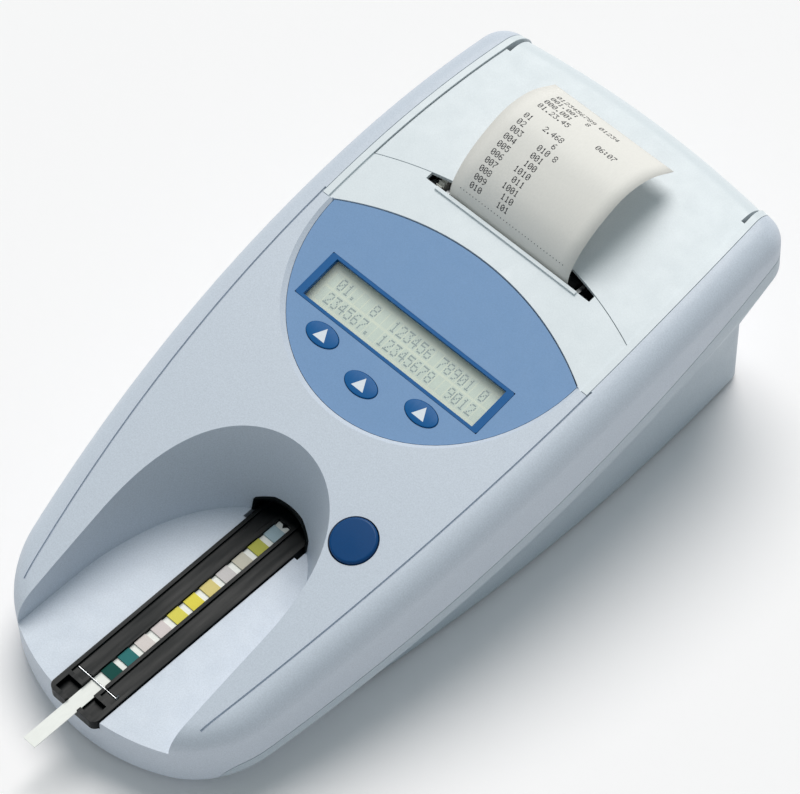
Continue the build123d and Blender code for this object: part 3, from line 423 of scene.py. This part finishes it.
def dress(node, material, edge, smooth=SMOOTH_ANGLE):
    """Stands a joined, smooth-shaded copy of a CAD node in its place, rounded if it has an edge."""
    form = bmesh.new()
    form.from_mesh(FRAME["nodes"][node].data)
    bmesh.ops.remove_doubles(form, verts=form.verts, dist=sizes().weld)
    bmesh.ops.dissolve_degenerate(form, edges=form.edges, dist=sizes().weld)
    limit = radians(smooth)
    for face in form.faces:
        face.smooth = True
    for line in form.edges:
        line.smooth = line.is_manifold and line.calc_face_angle(0) < limit
    mesh = bpy.data.meshes.new(node + "_shell")
    form.to_mesh(mesh)
    form.free()
    piece = mesh_object(node + "_shell", mesh, material, body_of(node))
    if edge:
        bevel = piece.modifiers.new("edge", "BEVEL")
        bevel.width = edge
        bevel.segments = BEVEL_SEGMENTS
        bevel.limit_method = "ANGLE"
        bevel.angle_limit = radians(BEVEL_ANGLE)
    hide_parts(node)


def prism_mesh(name, outline, height, matrix):
    """A closed prism that stands on a flat outline."""
    form = bmesh.new()
    bottom = [form.verts.new((x, y, 0)) for x, y in outline]
    top = [form.verts.new((x, y, height)) for x, y in outline]
    form.faces.new(list(reversed(bottom)))
    form.faces.new(top)
    count = len(outline)
    for index in range(count):
        after = (index + 1) % count
        form.faces.new((bottom[index], bottom[after], top[after], top[index]))
    mesh = bpy.data.meshes.new(name)
    form.to_mesh(mesh)
    form.free()
    mesh.transform(matrix)
    return mesh


def scatter_tree(name):
    """A tree that sets a tile on every point, turned to the point's normal, and makes it real."""
    tree = bpy.data.node_groups.new(name, "GeometryNodeTree")
    face = tree.interface
    face.new_socket("Geometry", in_out="INPUT", socket_type="NodeSocketGeometry")
    for label in ("Width", "Height", "Thickness"):
        face.new_socket(label, in_out="INPUT", socket_type="NodeSocketFloat")
    face.new_socket("Material", in_out="INPUT", socket_type="NodeSocketMaterial")
    face.new_socket("Geometry", in_out="OUTPUT", socket_type="NodeSocketGeometry")
    nodes, link = tree.nodes, tree.links.new
    start = nodes.new("NodeGroupInput")
    end = nodes.new("NodeGroupOutput")
    size = nodes.new("ShaderNodeCombineXYZ")
    for label, axis in (("Width", "X"), ("Height", "Y"), ("Thickness", "Z")):
        link(start.outputs[label], size.inputs[axis])
    tile = nodes.new("GeometryNodeMeshCube")
    link(size.outputs["Vector"], tile.inputs["Size"])
    turn = nodes.new("GeometryNodeInputNamedAttribute")
    turn.data_type = "FLOAT_VECTOR"
    turn.inputs["Name"].default_value = "facing"
    tilt = nodes.new("FunctionNodeAlignRotationToVector")
    tilt.axis = "Z"
    tilt.pivot_axis = "X"
    link(turn.outputs["Attribute"], tilt.inputs["Vector"])
    spread = nodes.new("GeometryNodeInstanceOnPoints")
    link(start.outputs["Geometry"], spread.inputs["Points"])
    link(tile.outputs["Mesh"], spread.inputs["Instance"])
    link(tilt.outputs["Rotation"], spread.inputs["Rotation"])
    real = nodes.new("GeometryNodeRealizeInstances")
    link(spread.outputs["Instances"], real.inputs["Geometry"])
    dressed = nodes.new("GeometryNodeSetMaterial")
    link(real.outputs["Geometry"], dressed.inputs["Geometry"])
    link(start.outputs["Material"], dressed.inputs["Material"])
    link(dressed.outputs["Geometry"], end.inputs["Geometry"])
    return tree


def tiles(name, points, normals, size, material, body):
    """Flat tiles of one size on points, made by Geometry Nodes and kept as a plain mesh."""
    seed = bpy.data.meshes.new(name + "_points")
    seed.from_pydata([tuple(point) for point in points], [], [])
    facing = seed.attributes.new("facing", "FLOAT_VECTOR", "POINT")
    for entry, normal in zip(facing.data, normals):
        entry.vector = normal
    holder = bpy.data.objects.new(name + "_points", seed)
    bpy.context.scene.collection.objects.link(holder)
    tree = scatter_tree(name + "_tree")
    modifier = holder.modifiers.new("tiles", "NODES")
    modifier.node_group = tree
    inputs = {item.name: item.identifier for item in tree.interface.items_tree
              if item.item_type == "SOCKET" and item.in_out == "INPUT"}
    for label, value in zip(("Width", "Height", "Thickness"), size):
        modifier[inputs[label]] = value
    modifier[inputs["Material"]] = material
    bpy.context.view_layer.update()
    evaluated = holder.evaluated_get(bpy.context.evaluated_depsgraph_get())
    mesh = bpy.data.meshes.new_from_object(evaluated)
    mesh.name = name
    bpy.data.objects.remove(holder)
    return mesh_object(name, mesh, material, body)


# ---------------------------------------------------------------- numerals of dots
GLYPH_COLUMNS, GLYPH_ROWS = 5, 7
GLYPHS = {
    "0": ".###. #...# #..## #.#.# ##..# #...# .###.",
    "1": "..#.. .##.. ..#.. ..#.. ..#.. ..#.. .###.",
    "2": ".###. #...# ....# ...#. ..#.. .#... #####",
    "3": "##### ...#. ..#.. ...#. ....# #...# .###.",
    "4": "...#. ..##. .#.#. #..#. ##### ...#. ...#.",
    "5": "##### #.... ####. ....# ....# #...# .###.",
    "6": "..##. .#... #.... ####. #...# #...# .###.",
    "7": "##### ....# ...#. ..#.. .#... .#... .#...",
    "8": ".###. #...# #...# .###. #...# #...# .###.",
    "9": ".###. #...# #...# .#### ....# ...#. .##..",
    ":": "..... .##.. .##.. ..... .##.. .##.. .....",
    ".": "..... ..... ..... ..... ..... .##.. .##..",
}


def glyph_dots(text, pitch, advance):
    """Where the dots of a line of numerals lie, from its lower left corner."""
    for place, letter in enumerate(text):
        rows = GLYPHS.get(letter, "").split()
        for row, cells in enumerate(rows):
            for column, cell in enumerate(cells):
                if cell == "#":
                    yield place * advance + column * pitch, (GLYPH_ROWS - 1 - row) * pitch


# ---------------------------------------------------------------- pieces
class PieceOperator:
    """What every operator here shares: it makes its pieces in one go"""
    bl_options = {"REGISTER", "UNDO"}

    def execute(self, context):
        self.make()
        return {"FINISHED"}


class READER_OT_housing(PieceOperator, bpy.types.Operator):
    """Upper and lower housings with their moulded texture"""
    bl_idname = "reader.housing"
    bl_label = "Housings"

    def make(self):
        edge = sizes().edge
        dress("upper_housing", moulded("deck_plastic", colours().deck), edge)
        dress("lower_housing", moulded("tub_plastic", colours().tub, 0.5), edge)


class READER_OT_printer_cover(PieceOperator, bpy.types.Operator):
    """Printer bridge, hinged cover and hinge pins"""
    bl_idname = "reader.printer_cover"
    bl_label = "Printer cover"

    def make(self):
        plastic = moulded("lid_plastic", colours().lid, 0.4, 0.03)
        for node in ("printer_bridge", "printer_cover"):
            dress(node, plastic, sizes().lid_edge)
        paint(["cover_hinge_pins"], metal("pin_steel", colours().steel))


class READER_OT_panel(PieceOperator, bpy.types.Operator):
    """Blue display panel, the display's dark frame and its clear window"""
    bl_idname = "reader.panel"
    bl_label = "Display panel"

    def make(self):
        pale = glossy("panel_blue", colours().panel, 0.45, 0.5 * MM, 0.05)
        dark = glossy("frame_blue", colours().accent, 0.42, 0.4 * MM, 0.03)
        dress("display_panel", pale, sizes().panel_edge)
        dress("display_frame", dark, sizes().frame_edge)
        paint(["display_window"], clear_sheet("window"))


class READER_OT_keys(PieceOperator, bpy.types.Operator):
    """Three oval keys with their triangles, and the round start button"""
    bl_idname = "reader.keys"
    bl_label = "Keys and button"
    base = 0.75                 # from a mark's middle to its base, over half its width

    def make(self):
        blue = glossy("key_blue", colours().accent, 0.4, 0.4 * MM, 0.04)
        mark = fibrous("key_mark", colours().mark, 0.5)
        half = sizes().mark / 2
        outline = ((-half, -self.base * half), (half, -self.base * half), (0, half))
        for side in ("left", "middle", "right"):
            node = "soft_key_" + side
            dress(node, blue, 0)
            place = plane_matrix(face_centre(node, PANEL_NORMAL), PANEL_NORMAL)
            mesh = prism_mesh("key_mark_" + side, outline, sizes().film, place)
            mesh_object("key_mark_" + side, mesh, mark, side + "_key")
        dress("start_button", glossy("button_blue", colours().button, 0.4, 0.6 * MM, 0.04), 0)


class READER_OT_display(PieceOperator, bpy.types.Operator):
    """Liquid crystal glass with its character cells and two lines of numerals"""
    bl_idname = "reader.display"
    bl_label = "Display"
    lines = (" 01.  8  123456 78901 0 ", " 234567. 12345678  9012 ")
    stretch = 1.28              # height of a dot row over the dot pitch
    cell_share = 0.86           # of the pitch that a cell covers
    dot_height = 1.25           # a dot's height over its width
    dot_lift = 2.2              # films from the glass to the middle of a dot

    def make(self):
        green = fibrous("display_green", colours().display, 0.32, 2.0 * MM, 0.002 * MM, 0.02)
        paint(["lcd_glass"], green)
        paint(["lcd_frame"], metal("frame_steel", colours().steel))
        size = sizes()
        place = plane_matrix(face_centre("lcd_glass", PANEL_NORMAL), PANEL_NORMAL)
        columns = len(self.lines[0])
        left = -columns * size.cell_pitch / 2
        cells, dots = [], []
        for row, text in enumerate(self.lines):
            base = (0.5 - row) * size.line_pitch
            for column in range(columns):
                cells.append((left + (column + 0.5) * size.cell_pitch, base, size.film))
            inset = (size.cell_pitch - (GLYPH_COLUMNS - 1) * size.dot_pitch) / 2
            middle = (GLYPH_ROWS - 1) / 2 * size.dot_pitch
            for x, y in glyph_dots(text, size.dot_pitch, size.cell_pitch):
                height = base + (y - middle) * self.stretch
                dots.append((left + inset + x, height, self.dot_lift * size.film))
        share = self.cell_share
        for name, points, tile, colour in (
            ("display_cells", cells, (share * size.cell_pitch, share * size.line_pitch),
             colours().cell),
            ("display_dots", dots, (size.dot, self.dot_height * size.dot), colours().segment),
        ):
            spots = [place @ Vector(point) for point in points]
            finish = fibrous(name + "_tint", colour, 0.4, 1.5 * MM, 0.002 * MM, 0.03)
            tiles(name, spots, [PANEL_NORMAL] * len(spots), (*tile, size.film), finish,
                  "housing")


class READER_OT_tray(PieceOperator, bpy.types.Operator):
    """Sliding tray, its hood, the test strip, its pads and the wire clip"""
    bl_idname = "reader.tray"
    bl_label = "Tray and strip"

    def make(self):
        black = worn_black("tray_black", colours().tray)
        dress("strip_tray", black, sizes().tray_edge)
        dress("tray_hood", black, sizes().hood_edge)
        paint(["test_strip"], fibrous("strip_white", colours().strip, 0.45, 1.2 * MM, 0.005 * MM))
        paint(["reagent_pads"], pad_finish())
        dress("strip_clip", metal("clip_steel", colours().steel, 0.2), 0, WIRE_ANGLE)
        paint(["tray_guide"], worn_black("guide_black", colours().dark))


class READER_OT_paper(PieceOperator, bpy.types.Operator):
    """Curled printed paper and the roll it comes from"""
    bl_idname = "reader.paper"
    bl_label = "Paper"
    # station behind the nose and height, in millimetres, along the middle of the curl
    profile = ((215.2, 76.8), (215.2, 81.5), (217.6, 87.0), (224.0, 93.6), (234.0, 99.3),
               (245.0, 102.4), (257.0, 100.4), (269.0, 93.2))
    knot_steps = 40             # points from one knot of the profile to the next
    across = 10                 # facets across the paper
    # the printed lines, from the slot upwards; the first is the row of tear dots
    rows = ("", "010    101", "009    110", "008   1001", "007    011", "006   1010", "005    100",
            "004    001", "003    010 8", "02       6", "01   2.468", "", "01.23.45       06:07",
            "000.00:", "001.00:  8", "0123456789 01234")
    tear_dots = 34
    tear_pitch = 1.5 * MM
    tear_row = 3                # print pitches from the foot of its line
    tear_margin = 4.0 * MM
    margin = 7.0 * MM
    first_line = 8.2 * MM       # from the paper's lower end
    advance = 6.2               # print pitches from one character to the next
    stretch = 1.15              # height of a dot row over the print pitch

    def path(self):
        """Closely spaced points on a smooth line through the profile."""
        knots = [Vector((NOSE + station * MM, height * MM)) for station, height in self.profile]
        ends = [2 * knots[0] - knots[1], *knots, 2 * knots[-1] - knots[-2]]
        fine = []
        for index in range(1, len(ends) - 2):
            a, b, c, d = ends[index - 1:index + 3]
            for step in range(self.knot_steps):
                t = step / self.knot_steps
                fine.append(0.5 * (2 * b + (c - a) * t + (2 * a - 5 * b + 4 * c - d) * t * t
                                   + (3 * b - a - 3 * c + d) * t ** 3))
        fine.append(knots[-1])
        return fine

    def walk(self, fine, distance):
        """The point and normal at a distance along the path."""
        for start, end in zip(fine, fine[1:]):
            gap = (end - start).length
            if distance <= gap or end is fine[-1]:
                along = (end - start).normalized()
                point = start + along * distance
                return point, Vector((-along.y, along.x))
            distance -= gap

    def make(self):
        size = sizes()
        fine = self.path()
        length = sum((b - a).length for a, b in zip(fine, fine[1:]))
        low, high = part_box("paper_strip")
        white = fibrous("paper_white", colours().paper, 0.62, 0.6 * MM, 0.01 * MM, 0.02)
        spots = [low.x + (high.x - low.x) * place / self.across for place in range(self.across + 1)]
        form = bmesh.new()
        rows = []
        for step in range(size.paper_steps + 1):
            point, _ = self.walk(fine, length * step / size.paper_steps)
            rows.append([form.verts.new((x, point.x, point.y)) for x in spots])
        for front, back in zip(rows, rows[1:]):
            for place in range(self.across):
                corners = (front[place], front[place + 1], back[place + 1], back[place])
                form.faces.new(corners).smooth = True
        mesh = bpy.data.meshes.new("paper_curl")
        form.to_mesh(mesh)
        form.free()
        paper = mesh_object("paper_curl", mesh, white, "cover")
        shell = paper.modifiers.new("sheet", "SOLIDIFY")
        shell.thickness = size.paper
        shell.offset = 0
        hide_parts("paper_strip")
        self.write(fine, low.x)
        paint(["paper_roll"], fibrous("roll_paper", colours().paper, 0.7, 0.8 * MM, 0.02 * MM))

    def write(self, fine, left):
        """Prints the lines on the curl as raised dots."""
        size = sizes()
        pitch = size.print_pitch
        points, normals = [], []
        lift = (size.paper + size.film) / 2
        for row, text in enumerate(self.rows):
            margin = self.margin if row else self.tear_margin
            dots = glyph_dots(text, pitch, self.advance * pitch)
            if not row:
                dots = [(place * self.tear_pitch, self.tear_row * pitch)
                        for place in range(self.tear_dots)]
            start = self.first_line + row * size.print_line
            for x, y in dots:
                point, normal = self.walk(fine, start + y * self.stretch)
                spot = Vector((left + margin + x, point.x, point.y))
                up = Vector((0, normal.x, normal.y))
                points.append(spot + up * lift)
                normals.append(up)
        ink = fibrous("print_ink", colours().ink, 0.7, 0.3 * MM, 0.004 * MM, 0.12)
        tiles("paper_print", points, normals, (size.print_dot, size.print_dot, size.film), ink,
              "cover")


class READER_OT_mechanism(PieceOperator, bpy.types.Operator):
    """Gears, motors, reading head and printer works inside the housing"""
    bl_idname = "reader.mechanism"
    bl_label = "Mechanism"

    def make(self):
        steel = metal("works_steel", colours().steel)
        dark = moulded("works_plastic", colours().dark)
        nylon = moulded("gear_nylon", colours().nylon, 0.4, 0.02)
        paint(["motor_pinion", "motor_plate", "head_bracket", "printer_chassis",
               "printer_motor_pinion", "transport_motor", "printer_motor", "print_head"], steel)
        paint(["reading_head", "paper_cradle"], dark)
        paint(["transport_gear", "platen_gear"], nylon)
        paint(["head_lens"], clear_sheet("lens"))
        paint(["platen_roller"], moulded("roller_rubber", colours().rubber, 0.7))


class READER_OT_electronics(PieceOperator, bpy.types.Operator):
    """Boards, switches and sockets"""
    bl_idname = "reader.electronics"
    bl_label = "Electronics"

    def make(self):
        paint(["lcd_board", "keypad_board", "switch_board", "head_board", "main_board"],
              circuit("solder_mask", colours().board))
        paint(["key_domes", "start_switch", "dc_socket", "service_port"],
              moulded("socket_plastic", colours().dark, 0.45))
        paint(["serial_socket"], metal("socket_steel", colours().steel))


class READER_OT_hardware(PieceOperator, bpy.types.Operator):
    """Rubber feet and housing screws"""
    bl_idname = "reader.hardware"
    bl_label = "Feet and screws"

    def make(self):
        paint(["rubber_feet"], moulded("foot_rubber", colours().rubber, 0.75))
        paint(["housing_screws"], metal("screw_steel", colours().steel))


class READER_OT_stage(PieceOperator, bpy.types.Operator):
    """Pale floor, one soft lamp, surrounding light and the camera"""
    bl_idname = "reader.stage"
    bl_label = "Stage"
    floor_half = 3.0            # metres from the middle of the floor to its sides
    film_width = 36.0           # millimetres
    clip = (0.05, 20.0)         # metres from the camera that it sees

    def make(self):
        scene = bpy.context.scene
        scene.view_settings.view_transform = "Standard"
        stage = scene.reader_stage
        self.floor(stage)
        self.world(stage)
        self.sun(stage)
        self.camera(stage)

    def floor(self, stage):
        half = self.floor_half
        corners = [(-half, -half, 0), (half, -half, 0), (half, half, 0), (-half, half, 0)]
        mesh = bpy.data.meshes.new("floor")
        mesh.from_pydata(corners, [], [(0, 1, 2, 3)])
        floor = bpy.data.objects.new("floor", mesh)
        bpy.context.scene.collection.objects.link(floor)
        finish = Finish("floor_paper", stage.floor, 0.9, Specular_IOR_Level=0.1)
        mesh.materials.append(finish.bump(finish.noise(1.5 * MM, 3), 0.02 * MM, 0.2).material)

    def world(self, stage):
        world = bpy.data.worlds.new("studio")
        world.use_nodes = True
        light = world.node_tree.nodes["Background"]
        light.inputs["Color"].default_value = (*stage.sky_tint, 1)
        light.inputs["Strength"].default_value = stage.sky
        bpy.context.scene.world = world

    def sun(self, stage):
        """One large soft source, high behind the reader's left shoulder."""
        light = bpy.data.lights.new("window", "SUN")
        light.energy = stage.key
        light.angle = stage.softness
        light.color = stage.key_tint
        lamp = bpy.data.objects.new("window", light)
        bpy.context.scene.collection.objects.link(lamp)
        lamp.rotation_euler = (-Vector(stage.key_from)).to_track_quat("-Z", "Y").to_euler()

    def camera(self, stage):
        """Looks at the target from a distance, turned and raised by angles and rolled last."""
        turn, rise, roll = stage.azimuth, stage.elevation, stage.roll
        ahead = Vector((-sin(turn) * cos(rise), cos(turn) * cos(rise), -sin(rise)))
        right = Vector((cos(turn), sin(turn), 0))
        up = right.cross(ahead)
        across = right * cos(roll) + up * sin(roll)
        upright = up * cos(roll) - right * sin(roll)
        matrix = Matrix((across, upright, -ahead)).transposed().to_4x4()
        matrix.translation = Vector(stage.target) - ahead * stage.distance
        data = bpy.data.cameras.new("camera")
        data.sensor_width = self.film_width
        data.sensor_fit = "HORIZONTAL"
        data.lens = stage.lens
        data.clip_start, data.clip_end = self.clip
        camera = bpy.data.objects.new("camera", data)
        bpy.context.scene.collection.objects.link(camera)
        camera.matrix_world = matrix
        bpy.context.scene.camera = camera


class READER_PT_panel(bpy.types.Panel):
    """Lists the reader's pieces"""
    bl_label = "Strip reader"
    bl_idname = "READER_PT_panel"
    bl_space_type = "VIEW_3D"
    bl_region_type = "UI"
    bl_category = "Reader"

    def draw(self, context):
        for operator in OPERATORS:
            self.layout.operator(operator.bl_idname)


GROUPS = (ReaderColours, ReaderSizes, ReaderStage)
OPERATORS = (
    READER_OT_stage, READER_OT_housing, READER_OT_printer_cover, READER_OT_panel, READER_OT_keys,
    READER_OT_display, READER_OT_tray, READER_OT_paper, READER_OT_mechanism, READER_OT_electronics,
    READER_OT_hardware,
)


def register():
    for entry in (*GROUPS, *OPERATORS, READER_PT_panel):
        bpy.utils.register_class(entry)
    bpy.types.Scene.reader_colours = PointerProperty(type=ReaderColours)
    bpy.types.Scene.reader_sizes = PointerProperty(type=ReaderSizes)
    bpy.types.Scene.reader_stage = PointerProperty(type=ReaderStage)


def unregister():
    del bpy.types.Scene.reader_stage
    del bpy.types.Scene.reader_sizes
    del bpy.types.Scene.reader_colours
    for entry in reversed((*GROUPS, *OPERATORS, READER_PT_panel)):
        bpy.utils.unregister_class(entry)


def main():
    register()
    for operator in OPERATORS:
        group, name = operator.bl_idname.split(".")
        getattr(getattr(bpy.ops, group), name)()


if __name__ == "__main__":
    main()
